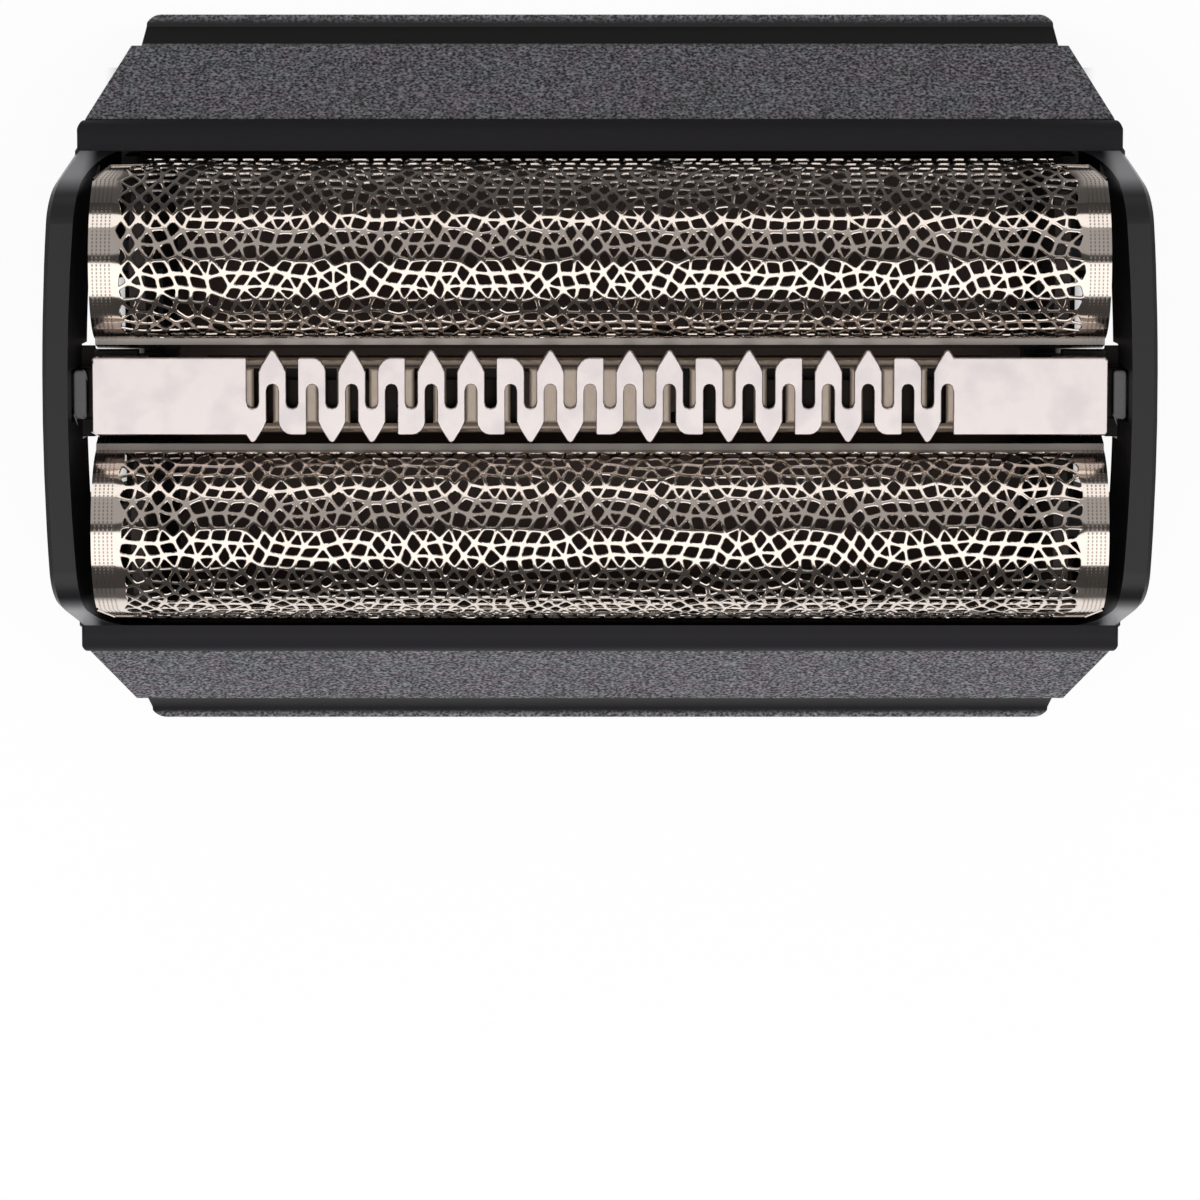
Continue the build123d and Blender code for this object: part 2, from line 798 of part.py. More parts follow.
for name, shape in pieces.items():
    export_step(shape, f"parts/{name}.step")
    print(name, round(shape.volume, 2))
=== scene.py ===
import json
import math

import bpy
import numpy as np
from mathutils.geometry import delaunay_2d_cdt
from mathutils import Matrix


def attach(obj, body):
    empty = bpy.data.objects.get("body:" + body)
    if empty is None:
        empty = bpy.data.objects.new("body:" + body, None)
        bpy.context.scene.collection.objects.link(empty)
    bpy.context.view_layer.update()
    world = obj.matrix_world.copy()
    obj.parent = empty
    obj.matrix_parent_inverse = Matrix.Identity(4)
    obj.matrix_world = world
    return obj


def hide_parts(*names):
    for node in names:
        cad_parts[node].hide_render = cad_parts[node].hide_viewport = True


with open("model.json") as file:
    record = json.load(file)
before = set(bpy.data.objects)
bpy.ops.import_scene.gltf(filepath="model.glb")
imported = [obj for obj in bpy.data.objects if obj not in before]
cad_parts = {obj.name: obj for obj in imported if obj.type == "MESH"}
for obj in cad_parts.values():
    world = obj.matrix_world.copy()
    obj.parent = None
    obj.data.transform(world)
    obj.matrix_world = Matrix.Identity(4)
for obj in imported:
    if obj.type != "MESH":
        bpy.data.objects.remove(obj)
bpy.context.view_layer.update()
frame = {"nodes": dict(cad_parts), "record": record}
nodes = frame["nodes"]
mm = 0.001  # sizes below are in millimetres, but lamps and camera in metres
print("frame:", len(nodes), "nodes")


class Wire:
    # one socket of a shader; sums of wires add Math nodes to its tree
    def __init__(self, tree, socket=None):
        self.tree = tree
        self.socket = socket

    def add(self, kind, settings=None, sockets=None, out=0):
        node = self.tree.nodes.new(kind)
        for name, value in (settings or {}).items():
            if name == "stops":
                ramp = node.color_ramp
                while len(ramp.elements) < len(value):
                    ramp.elements.new(1.0)
                for element, (place, grey) in zip(ramp.elements, value):
                    element.position = place
                    element.color = (grey, grey, grey, 1)
            else:
                setattr(node, name, value)
        for name, value in (sockets or {}).items():
            if isinstance(value, Wire):
                self.tree.links.new(value.socket, node.inputs[name])
            else:
                node.inputs[name].default_value = value
        return Wire(self.tree, node.outputs[out])

    def math(self, operation, *values):
        return self.add("ShaderNodeMath", {"operation": operation}, dict(enumerate(values)))

    def __add__(self, other):
        return self.math("ADD", self, other)

    def __sub__(self, other):
        return self.math("SUBTRACT", self, other)

    def __rsub__(self, other):
        return self.math("SUBTRACT", other, self)

    def __mul__(self, other):
        return self.math("MULTIPLY", self, other)

    def __gt__(self, other):
        return self.math("GREATER_THAN", self, other)

    def __lt__(self, other):
        return self.math("LESS_THAN", self, other)

    __radd__ = __add__
    __rmul__ = __mul__

    def rise(self, low, high):
        # 0 below low, 1 above high, smooth between
        return self.add(
            "ShaderNodeMapRange",
            {"interpolation_type": "SMOOTHSTEP"},
            {"Value": self, "From Min": low, "From Max": high},
        )

    def past(self, line, soft):
        # 0 before a line given in millimetres, 1 behind it, smooth within soft of it
        return self.rise((line - soft) * mm, (line + soft) * mm)

    def blend(self, first, second):
        # colour from first to second as this wire goes from 0 to 1
        colours = [c if isinstance(c, Wire) else (*c, 1) for c in (first, second)]
        sockets = {0: self, 6: colours[0], 7: colours[1]}
        return self.add("ShaderNodeMix", {"data_type": "RGBA"}, sockets, out=2)

    def bump(self, strength, distance):
        return self.add(
            "ShaderNodeBump", {}, {"Height": self, "Strength": strength, "Distance": distance * mm}
        )

    def place(self):
        return self.add("ShaderNodeTexCoord", out="Object")

    def axis(self, vector, name):
        return self.add("ShaderNodeSeparateXYZ", {}, {0: vector}, out=name)

    def noise(self, vector, grain, detail=2.0, rough=0.5):
        # grain is the size of one blotch
        return self.add(
            "ShaderNodeTexNoise",
            {},
            {"Vector": vector, "Scale": 1 / (grain * mm), "Detail": detail, "Roughness": rough},
        )


def makeFinish(name, paint):
    material = bpy.data.materials.new(name)
    material.use_nodes = True
    tree = material.node_tree
    shader = tree.nodes["Principled BSDF"]
    for socket, value in paint(Wire(tree)).items():
        if isinstance(value, Wire):
            tree.links.new(value.socket, shader.inputs[socket])
        else:
            shader.inputs[socket].default_value = value
    return material


# Side panels: spark texture below, smooth satin on the lip
spark = {
    "dark": (0.046, 0.0435, 0.0495),
    "purple": (0.52, 0.48, 0.535),
    "blue": (0.485, 0.50, 0.53),
    "lip": (0.032, 0.030, 0.0335),
    "grain": 0.19,
    "pit": 0.171,
    "cloud": 1.6,
    "flecks": (0.50, 1.15),
    "lipFoot": 9.28,
    "edgeHeight": 2.85,
    "edgePaintedHighlight": 0.2,
}


def sparkHeight(net, place):
    # fine noise with round pits, about 0 to 1.2
    scale = 1 / (spark["pit"] * mm)
    pits = net.add("ShaderNodeTexVoronoi", {}, {"Vector": place, "Scale": scale}, out="Distance")
    return net.noise(place, spark["grain"], 2.0, 0.6) + pits * 0.5


def sparkColour(net, place, amount):
    # light flecks on dark ground, drifting from purple to blue in soft clouds
    cloud = net.noise(place, spark["cloud"], 2.0).rise(0.4, 0.6)
    return amount.blend(spark["dark"], cloud.blend(spark["purple"], spark["blue"]))


def paintSpark(net):
    place = net.place()
    level = net.axis(place, "Z")
    lip = level.past(spark["lipFoot"], 0.04)
    # below the edge height the panel's lower rim gets extra light flecks: a painted highlight
    edge = 1 - level.past(spark["edgeHeight"], 0.1)
    height = sparkHeight(net, place)
    rough = 1 - lip
    amount = height.rise(*spark["flecks"]) + edge * spark["edgePaintedHighlight"]
    fleck = sparkColour(net, place, net.math("MINIMUM", amount, 1.0))
    return {
        "Base Color": lip.blend(fleck, spark["lip"]),
        "Roughness": 0.5 + rough * 0.15,
        "Specular IOR Level": 0.08,
        "Normal": (height * (0.04 + rough * 0.96)).bump(0.6, 0.06),
    }


# Satin plastic of the chassis: smooth, with a painted highlight making the ends of the ears paler,
# and spark texture along both edges of the skirt, partly a painted highlight along its foot
satin = {
    "dark": (0.0145, 0.0136, 0.0150),
    "light": (0.0195, 0.0185, 0.0202),
    "endPaintedHighlight": (0.46, 0.45, 0.47),
    "footHeight": 0.20,
    "topHeight": 2.3,
    "skirtWidth": 16.5,
    "endWidth": 11.1,
    "endHeight": 10.7,
    "endReach": 26.8,
}


def paintSatin(net):
    place = net.place()
    cloud = net.noise(place, 3.0, 3.0)
    level = net.axis(place, "Z")
    width = net.math("ABSOLUTE", net.axis(place, "Y"))
    reach = net.math("ABSOLUTE", net.axis(place, "X"))
    height = sparkHeight(net, place)
    # the light flecks along the foot are spark texture and partly a painted highlight on the bottom rim
    foot = 1 - level.past(satin["footHeight"], 0.15)
    top = level.past(satin["topHeight"], 0.05) * (width > satin["skirtWidth"] * mm)
    # pale ends of the ears: a painted highlight
    end = width.past(satin["endWidth"], 0.6) * (level > satin["endHeight"] * mm)
    end = end * reach.past(satin["endReach"], 0.4)
    textured = net.math("MINIMUM", foot + top, 1.0)
    body = end.blend(cloud.blend(satin["dark"], satin["light"]), satin["endPaintedHighlight"])
    fleck = sparkColour(net, place, height.rise(*spark["flecks"]))
    return {
        "Base Color": textured.blend(body, fleck),
        "Roughness": 0.34 + cloud * 0.08 + textured * 0.2,
        "Specular IOR Level": 0.4,
        "Normal": (height * (0.05 + textured * 0.95)).bump(0.6, 0.06),
    }


# Moulded inner pieces: almost black, with grey lugs
inner = {
    "colour": (0.036, 0.030, 0.028),
    "speck": (0.054, 0.045, 0.042),
    "lug": (0.24, 0.232, 0.236),
    "lugTop": 13.3,
}


def paintInner(net):
    grain = net.noise(net.place(), 0.3, 3.0)
    return {
        "Base Color": grain.blend(inner["colour"], inner["speck"]),
        "Roughness": 0.75 + grain * 0.1,
        "Specular IOR Level": 0.05,
        "Normal": grain.bump(0.3, 0.02),
    }


def paintLug(net):
    place = net.place()
    grain = net.noise(place, 0.2, 3.0)
    top = net.axis(place, "Z").past(inner["lugTop"], 0.05)
    return {
        "Base Color": (top * (0.7 + grain * 0.6)).blend(inner["colour"], inner["lug"]),
        "Roughness": 0.55 + grain * 0.1,
        "Specular IOR Level": 0.2,
        "Normal": grain.bump(0.3, 0.02),
    }


# Foil metal: warm polished nickel, with fine rows of slits across the plain ends
nickel = {
    "light": (0.85, 0.765, 0.70),
    "brown": (0.75, 0.655, 0.585),
    "slit": (0.40, 0.345, 0.30),
    "under": (0.22, 0.18, 0.155),
    "frost": (0.44, 0.40, 0.37),
    "frostSpan": (-6.2, -5.88),
    "slitStart": 25.3,
    "slitStep": 0.22,
    "slitCount": 5,
    "slitEdge": (0.10, 0.26),
    "dotStep": 0.2,
    "dotEdge": (0.1, 0.25),
}


def paintNickel(net):
    # reads the flat sheet: x along the foil, y over it, with frost on the ledge and painted shade below it,
    # as a darker brown metal colour
    place = net.place()
    flat = net.add("ShaderNodeUVMap", {"uv_map": "foilMap"})
    along = net.math("ABSOLUTE", net.axis(flat, "X"))
    over = net.axis(flat, "Y")
    cloud = net.noise(place, 1.2, 3.0)
    step = (along - nickel["slitStart"]) * (1 / nickel["slitStep"])
    line = net.math("ABSOLUTE", net.math("FRACT", step) - 0.5)
    dots = net.math("ABSOLUTE", net.math("FRACT", over * (1 / nickel["dotStep"])) - 0.5)
    row = (step > 0) * (step < nickel["slitCount"])
    slit = row * (1 - line.rise(*nickel["slitEdge"])) * dots.rise(*nickel["dotEdge"])
    metal = cloud.blend(nickel["brown"], nickel["light"])
    under = over < nickel["frostSpan"][0]
    frost = (over < nickel["frostSpan"][1]) * (1 - under)
    metal = under.blend(slit.blend(metal, nickel["slit"]), nickel["under"])
    return {
        "Base Color": frost.blend(metal, nickel["frost"]),
        "Metallic": 1 - frost * 0.6,
        "Roughness": 0.07 + cloud * 0.06 + slit * 0.2 + frost * 0.38,
    }


# Comb and blade steel
steel = {
    "comb": (0.845, 0.768, 0.75),
    "combDark": (0.722, 0.658, 0.66),
    "blade": (0.43, 0.355, 0.295),
    "bladeShadeAndScratches": (0.060, 0.043, 0.033),
    "spring": (0.017, 0.014, 0.012),
    "smudges": (0.3, 0.62),
    "barPitch": 1.68,
    "barStart": 3.2,
    "barEdge": (0.08, 0.19),
    "slotEnd": 1.4,
    "fold": (1.35, 1.64),
}


def paintComb(net):
    place = net.place()
    cloud = net.noise(place, 2.0, 4.0)
    grain = net.noise(place, 0.07, 2.0)
    return {
        "Base Color": cloud.rise(*steel["smudges"]).blend(steel["combDark"], steel["comb"]),
        "Metallic": 1.0,
        "Roughness": 0.30 + cloud * 0.08,
        "Normal": (grain + cloud * 0.5).bump(0.06, 0.02),
    }


def paintBlade(net):
    # bars bend away at their edges, so each is pale along its middle and brown beside it: painted shade, also
    # on the folds along both sides, with real scratches darkening it at random
    place = net.place()
    stretched = net.add("ShaderNodeMapping", {}, {"Vector": place, "Scale": (1.0, 0.1, 0.3)})
    scratch = net.noise(stretched, 0.05, 3.0)
    along = net.axis(place, "X")
    bar = net.math("ABSOLUTE", net.math("FRACT", along * (1 / (steel["barPitch"] * mm)) + 0.5) - 0.5)
    across = net.math("ABSOLUTE", net.axis(place, "Y"))
    edge = bar.rise(*steel["barEdge"]) * (net.math("ABSOLUTE", along) > steel["barStart"] * mm)
    edge = edge * (1 - across.past(steel["slotEnd"], 0.1))
    fold = across.past(steel["fold"][0], 0.1) * (1 - across.past(steel["fold"][1], 0.08))
    shade = net.math("MAXIMUM", edge, fold) * 0.8 + scratch * 0.25
    return {
        "Base Color": net.math("MINIMUM", shade, 1.0).blend(steel["blade"], steel["bladeShadeAndScratches"]),
        "Metallic": 1.0,
        "Roughness": 0.24 + scratch * 0.14,
        "Normal": scratch.bump(0.08, 0.01),
    }


# near-black colour: painted shade, for the dark seen through the comb slots under the blade
def paintSpring(net):
    return {"Base Color": (*steel["spring"], 1), "Metallic": 1.0, "Roughness": 0.45}


finishes = {
    "black_plastic": makeFinish("satinPlastic", paintSatin),
    "textured_plastic": makeFinish("sparkPlastic", paintSpark),
    "grey_plastic": makeFinish("lugPlastic", paintLug),
    "foil_metal": makeFinish("foilNickel", paintNickel),
    "comb_steel": makeFinish("combSteel", paintComb),
    "blade_steel": makeFinish("bladeSteel", paintBlade),
}
innerPlastic = makeFinish("innerPlastic", paintInner)
inside = {
    ("black_plastic", "carrier"): innerPlastic,
    ("black_plastic", "strip"): innerPlastic,
    ("blade_steel", "spring"): makeFinish("springSteel", paintSpring),
}
for row in frame["record"]["subparts"]:
    slot = row["material_slot"]
    data = nodes[row["node"]].data
    data.materials.clear()
    data.materials.append(inside.get((slot, row["node"].split("_")[-1]), finishes[slot]))
print("finishes:", len(finishes), "and", len(inside), "kinds of inner piece")


# Soft moulded and stamped edges on the solids
edges = {"trimmer_carrier": 0.10, "trimmer_comb": 0.08}
for name, width in edges.items():
    weld = nodes[name].modifiers.new("weld", "WELD")
    weld.merge_threshold = 0.0005 * mm
    bevel = nodes[name].modifiers.new("edge", "BEVEL")
    bevel.limit_method = "ANGLE"
    bevel.angle_limit = math.radians(32)
    bevel.width = width * mm
    bevel.segments = 2
    bevel.use_clamp_overlap = False
    bevel.harden_normals = True
print("edges:", len(edges), "solids rounded")


def addMesh(name, points, faces, uv=None, sharp=None):
    # points in millimetres and quads as index rows, whole arrays at once
    mesh = bpy.data.meshes.new(name)
    mesh.vertices.add(len(points))
    mesh.vertices.foreach_set("co", (points * mm).astype(np.float32).ravel())
    mesh.loops.add(faces.size)
    mesh.loops.foreach_set("vertex_index", faces.astype(np.int32).ravel())
    mesh.polygons.add(len(faces))
    mesh.polygons.foreach_set("loop_start", np.arange(0, faces.size, faces.shape[1], dtype=np.int32))
    mesh.update(calc_edges=True)
    mesh.polygons.foreach_set("use_smooth", np.ones(len(faces), dtype=bool))
    if uv is not None:
        layer = mesh.uv_layers.new(name="foilMap")
        layer.data.foreach_set("uv", uv[faces.ravel()].astype(np.float32).ravel())
    if sharp is not None:
        mesh.set_sharp_from_angle(angle=math.radians(sharp))
    mesh.validate()
    piece = bpy.data.objects.new(name, mesh)
    bpy.context.scene.collection.objects.link(piece)
    return piece


# Perforated foils: a sheet bent to an arch, with a field of triangular and four-sided holes
foil = {
    "axisY": 7.1,
    "axisHeight": 12.6,
    "radius": 4.2,
    "thickness": 0.09,
    "outerFlare": 20.0,
    "innerFlare": 12.0,
    "outerTail": 5.3,
    "innerTail": 4.72,
    "edgeHeight": 8.6,
    "halfLength": 26.5,
    "endHeights": (8.6, 11.95, 12.05, 13.6),
    "endHalfLengths": (24.4, 24.4, 25.7, 26.5),
    "squeezeFrom": 23.5,
    "fieldHalfLength": 25.0,
    "fieldFoot": 10.75,
    "columns": 58,
    "rows": 19,
    "jitter": 0.25,
    "evenRounds": 300,
    "hold": 0.1,
    "joinHeat": (2000, 1000, 400),
    "joinCost": {4: 300, 5: 5200},
    "areaShare": {3: 1.0, 4: 0.98, 5: 1.05},
    "inset": {3: 0.083, 4: 0.108, 5: 0.127},
    "shoulder": 0.62,
    "cornerLimit": 0.4,
    "endJitter": 0.25,
    "endSteps": 5,
    "drops": (0.0, 0.007, 0.045),
    "ledgeStart": 0.22,
    "ledgeRun": 0.17,
    "ledgeDepth": 0.3,
    "ledgeEnd": 1.9,
    "ledgeBack": 0.4,
    "hem": 0.09,
    "hemSides": 6,
    "hemLap": 0.4,
    "bulge": 0.2,
    "bulgeFrom": 4.03,
    "sharp": 22,
}


def foilBreaks():
    # arc length from the crest at which the section turns straight, kneels and ends, inside and outside
    f = foil
    found = {}
    for side in ("outer", "inner"):
        turn = math.radians(90 - f[side + "Flare"])
        startU = f["radius"] * math.sin(turn)
        startZ = f["axisHeight"] + f["radius"] * math.cos(turn)
        slope = (f[side + "Tail"] - startU) / math.cos(turn)
        kneeZ = startZ - slope * math.sin(turn)
        start = f["radius"] * turn
        found[side] = {
            "turn": turn,
            "start": start,
            "startU": startU,
            "startZ": startZ,
            "knee": start + slope,
            "kneeZ": kneeZ,
            "end": start + slope + kneeZ - f["edgeHeight"],
        }
    return found


breaks = foilBreaks()


def foilLevel(side, height):
    # arc length from the crest down to a height on one flank
    b = breaks[side]
    onSlope = b["start"] + (b["startZ"] - height) / math.sin(b["turn"])
    return onSlope if height > b["kneeZ"] else b["knee"] + b["kneeZ"] - height


def ledgeStops():
    # arc lengths down the inner flank where a narrow ledge starts, is full, ends and is gone
    f = foil
    start = breaks["inner"]["start"] + f["ledgeStart"]
    return start + np.array([0, f["ledgeRun"], f["ledgeEnd"], f["ledgeEnd"] + f["ledgeBack"]])


def foilSection(s):
    # arc, then a straight flank, then an upright tail, on both sides; s is arc length from the crest
    radius = foil["radius"]
    u = radius * np.sin(s / radius)
    z = foil["axisHeight"] + radius * np.cos(s / radius)
    normalU = np.sin(s / radius)
    normalZ = np.cos(s / radius)
    for side, sign in (("outer", 1), ("inner", -1)):
        b = breaks[side]
        past = sign * s - b["start"]
        slope = np.minimum(past, b["knee"] - b["start"])
        drop = np.maximum(sign * s - b["knee"], 0)
        straight = past > 0
        u = np.where(straight, sign * (b["startU"] + slope * math.cos(b["turn"])), u)
        z = np.where(straight, b["startZ"] - slope * math.sin(b["turn"]) - drop, z)
        upright = sign * s > b["knee"] + 1e-6
        normalU = np.where(straight, np.where(upright, sign, sign * math.sin(b["turn"])), normalU)
        normalZ = np.where(straight, np.where(upright, 0.0, math.cos(b["turn"])), normalZ)
    depth = np.interp(-s, ledgeStops(), [0, foil["ledgeDepth"], foil["ledgeDepth"], 0], 0, 0)
    swell = np.clip((s - foil["bulgeFrom"]) / (breaks["outer"]["knee"] - foil["bulgeFrom"]), 0, 1)
    depth = depth + foil["bulge"] * np.sin(np.pi * swell) ** 2
    return u + depth * normalU, z + depth * normalZ, normalU, normalZ


def foilPoints(rng):
    # shaken rows of points half a step apart, on a rectangle of length along the foil and arc length over it
    f = foil
    rows, columns = f["rows"], f["columns"]
    low, high = -breaks["inner"]["start"], foilLevel("outer", f["fieldFoot"])
    stepX, stepS = 2 * f["fieldHalfLength"] / columns, (high - low) / rows
    j, i = np.mgrid[0 : rows + 1, 0 : columns + 1]
    shake = rng.uniform(-1, 1, (2, rows + 1, columns + 1)) * f["jitter"] * stepX
    x = (i + 0.5 * (j % 2) - 0.25) * stepX - f["fieldHalfLength"] + shake[0]
    s = low + j * stepS + shake[1]
    x[:, 0], x[:, -1] = -f["fieldHalfLength"], f["fieldHalfLength"]
    s[0], s[-1] = low, high
    s[1:-1, [0, -1]] = (low + j * stepS)[1:-1, [0, -1]]
    return np.stack([x.ravel(), s.ravel()], 1), j * (columns + 1) + i


def foilCells(points, rng):
    # triangles between the points; neighbours are joined where that brings a point's corners to a full turn
    triangles = delaunay_2d_cdt([tuple(p) for p in points], [], [], 0, 1e-6)[2]
    cells = [list(t) for t in triangles]
    owner = {(a, b): k for k, c in enumerate(cells) for a, b in zip(c, c[1:] + c[:1])}
    inside = [(a, b) for a, b in owner if a < b and (b, a) in owner]
    corner = {3: 60, 4: 90, 5: 108}
    excess = 60 * np.bincount(np.array(triangles).ravel(), minlength=len(points)) - 360
    weight = np.ones(len(points))
    weight[[p for edge in owner if edge[::-1] not in owner for p in edge]] = 0
    for heat in foil["joinHeat"]:
        for k in rng.permutation(len(inside)):
            a, b = inside[k]
            if (a, b) not in owner:
                continue
            keep, spare = owner[a, b], owner[b, a]
            one, two = cells[keep], cells[spare]
            sides = len(one) + len(two) - 2
            if keep == spare or sides not in corner or len(set(one) & set(two)) > 2:
                continue
            i, j = one.index(b), two.index(a)
            joined = one[i:] + one[:i] + (two[j:] + two[:j])[1:-1]
            lost = {p: corner[len(one)] * (p in one) + corner[len(two)] * (p in two) for p in joined}
            change = {p: corner[sides] - lost[p] for p in joined}
            cost = sum(weight[p] * ((excess[p] + c) ** 2 - excess[p] ** 2) for p, c in change.items())
            if cost + foil["joinCost"][sides] > rng.exponential(heat):
                continue
            cells[keep], cells[spare] = joined, []
            del owner[a, b], owner[b, a]
            for edge in zip(joined, joined[1:] + joined[:1]):
                owner[edge] = keep
            for p, c in change.items():
                excess[p] += c
    return [np.array([c for c in cells if len(c) == n]) for n in (3, 4, 5)]


def evenOut(points, groups, index, rng):
    # cells pull their corners towards regular polygons of their share of area; the border keeps its lines
    place = points[:, 0] + 1j * points[:, 1]
    held = place.copy()
    span = (points.max(0) - points.min(0)).prod()
    area = span / sum(len(cells) for cells in groups)
    ends = np.concatenate([index[:, 0], index[:, -1]])
    sides = np.concatenate([index[0], index[-1]])
    for _ in range(foil["evenRounds"]):
        pull = np.zeros(len(place), complex)
        count = np.zeros(len(place))
        for cells in groups:
            n = cells.shape[1]
            regular = np.exp(2j * np.pi * np.arange(n) / n)
            middle = place[cells].mean(1, keepdims=True)
            turn = ((place[cells] - middle) * regular.conj()).sum(1, keepdims=True)
            radius = math.sqrt(2 * area * foil["areaShare"][n] / (n * math.sin(2 * math.pi / n)))
            np.add.at(pull, cells, middle + radius * turn / np.abs(turn) * regular)
            np.add.at(count, cells, 1)
        mean = pull / count
        place = mean + foil["hold"] * (held - mean)
        place.real[ends] = held.real[ends]
        place.imag[sides] = held.imag[sides]
    inner = np.concatenate([index[1:-1, 0], index[1:-1, -1]])
    place.real[inner] += rng.uniform(-1, 1, len(inner)) * foil["endJitter"]
    return np.stack([place.real, place.imag], 1)


quarters = np.array([0.0, 0.25, 0.5, 0.75])


def foilRings(points, cells):
    # outline of each cell, the shoulder of the bars round it and its rounded hole
    corner = points[cells]
    along = np.roll(corner, -1, 1) - corner
    unit = along / np.linalg.norm(along, axis=2, keepdims=True)
    inward = np.stack([-unit[..., 1], unit[..., 0]], 2)
    before = np.roll(inward, 1, 1)
    share = np.maximum(1 + (inward * before).sum(2, keepdims=True), foil["cornerLimit"])
    rings = []
    for depth in (0, foil["shoulder"], 1):
        inset = corner + depth * foil["inset"][cells.shape[1]] * (inward + before) / share
        run = np.roll(inset, -1, 1) - inset
        ring = (inset[:, :, None] + quarters[:, None] * run[:, :, None]).reshape(len(cells), -1, 2)
        if depth:
            ring = 0.25 * np.roll(ring, 1, 1) + 0.5 * ring + 0.25 * np.roll(ring, -1, 1)
        rings.append(ring)
    return np.stack(rings, 1)


def patch(x, s):
    # quads of a grid given as two arrays of the same shape, wound so that x then s turns left
    grid = np.stack([x, s], 2)
    quads = np.stack([grid[:-1, :-1], grid[:-1, 1:], grid[1:, 1:], grid[1:, :-1]], 2).reshape(-1, 4, 2)
    edgeA, edgeB = quads[:, 1] - quads[:, 0], quads[:, 3] - quads[:, 0]
    turned = edgeA[:, 0] * edgeB[:, 1] - edgeA[:, 1] * edgeB[:, 0] < 0
    quads[turned] = quads[turned][:, ::-1]
    return quads


def foilMargins(points, index):
    # plain sheet from the border of the field to the ends and the two long edges
    f = foil
    endX = np.linspace(f["fieldHalfLength"], f["halfLength"], f["endSteps"] + 1)[1:]
    innerS = -np.sort([foilLevel("inner", f["edgeHeight"]), breaks["inner"]["knee"], *ledgeStops()])
    outerS = np.sort([foilLevel("outer", f["edgeHeight"]), breaks["outer"]["knee"]])

    def border(line):
        corner = points[line]
        along = corner[1:] - corner[:-1]
        run = (corner[:-1, None] + quarters[:, None] * along[:, None]).reshape(-1, 2)
        return np.concatenate([run, corner[-1:]])

    quads = []
    for line, sign in ((index[:, 0], -1), (index[:, -1], 1)):
        run = border(line)
        x = np.concatenate([run[:, :1], np.broadcast_to(sign * endX, (len(run), len(endX)))], 1)
        quads.append(patch(x, np.broadcast_to(run[:, 1:], x.shape)))
    for line, levels in ((index[0], innerS), (index[-1], outerS)):
        run = border(line)
        s = np.concatenate([run[:, 1:], np.broadcast_to(levels, (len(run), len(levels)))], 1)
        quads.append(patch(np.broadcast_to(run[:, :1], s.shape), s))
        for sign, corner in ((-1, run[0]), (1, run[-1])):
            x, s = np.meshgrid(np.append(corner[0], sign * endX), np.append(corner[1], levels))
            quads.append(patch(x, s))
    return np.concatenate(quads)


def foilHem():
    # thin rolled rim round the cut-back corners of the outer flank: a tube of a few sides along each line
    f = foil
    s = np.array([foilLevel("outer", height) for height in f["endHeights"][:0:-1]])
    u, z, normalU, normalZ = foilSection(s)
    out = np.stack([np.zeros(len(s)), normalU, normalZ], 1)
    reach = np.array(f["endHalfLengths"][:0:-1])
    reach[-1] -= f["hemLap"]
    turns = np.arange(f["hemSides"])[:, None] * 2 * np.pi / f["hemSides"]
    index = np.arange(len(s) * f["hemSides"]).reshape(len(s), -1)
    ahead = np.roll(index, -1, 1)
    tube = np.stack([ahead[:-1], ahead[1:], index[1:], index[:-1]], 2).reshape(-1, 4)
    points = []
    for sign in (-1, 1):
        line = np.stack([sign * reach, f["axisY"] + u, z], 1)
        along = np.gradient(line, axis=0)
        side = np.cross(along / np.linalg.norm(along, axis=1, keepdims=True), out)
        ring = np.cos(turns) * out[:, None] + np.sin(turns) * side[:, None]
        points.append((line[:, None] + f["hem"] * ring).reshape(-1, 3))
    return np.concatenate(points), np.concatenate([tube, tube + len(points[0])])


def foilQuads(rings, margin):
    # shared points of the flat sheet, how deep each lies, and the quads of its upper and lower face
    flat = np.concatenate([r.reshape(-1, 2) for r in rings] + [margin.reshape(-1, 2)])
    drops = [np.broadcast_to(np.array(foil["drops"])[:, None], r.shape[:3]).ravel() for r in rings]
    drops = np.concatenate(drops + [np.zeros(margin.size // 2)])
    keys = np.round(flat * 1e4).astype(np.int64)
    _, first, where = np.unique(keys, axis=0, return_index=True, return_inverse=True)
    where = where.ravel()
    upper, lower, start = [], [], 0
    for r in rings:
        here = where[start : start + r.size // 2].reshape(r.shape[:3])
        start += r.size // 2
        ahead = np.roll(here, -1, 2)
        upper.append(np.stack([here[:, :-1], ahead[:, :-1], ahead[:, 1:], here[:, 1:]], 3).reshape(-1, 4))
        lower.append(np.stack([here[:, 0], ahead[:, 0], ahead[:, 2], here[:, 2]], 2).reshape(-1, 4))
    plain = where[start:].reshape(-1, 4)
    return flat[first], drops[first], np.concatenate(upper + [plain]), np.concatenate(lower + [plain])


def foilWalls(upper, count):
    # quads down to the lower face along every edge that has the sheet on one side only
    edges = np.concatenate([upper[:, [k, (k + 1) % 4]] for k in range(4)])
    _, first, uses = np.unique(np.sort(edges, 1), axis=0, return_index=True, return_counts=True)
    rims = edges[first[uses == 1]]
    return np.stack([rims[:, 1], rims[:, 0], rims[:, 0] + count, rims[:, 1] + count], 1)


def foilBend(flat, depth):
    # sheet laid over the section and sunk by depth; near its ends it is drawn in along the cut-back corners
    f = foil
    u, z, normalU, normalZ = foilSection(flat[:, 1])
    along = np.abs(flat[:, 0])
    start = f["squeezeFrom"]
    reach = np.where(flat[:, 1] > 0, np.interp(z, f["endHeights"], f["endHalfLengths"]), f["halfLength"])
    beyond = np.maximum(along - start, 0) * (reach - start) / (f["halfLength"] - start)
    x = np.sign(flat[:, 0]) * (np.minimum(along, start) + beyond)
    return np.stack([x, f["axisY"] + u - normalU * depth, z - normalZ * depth], 1)


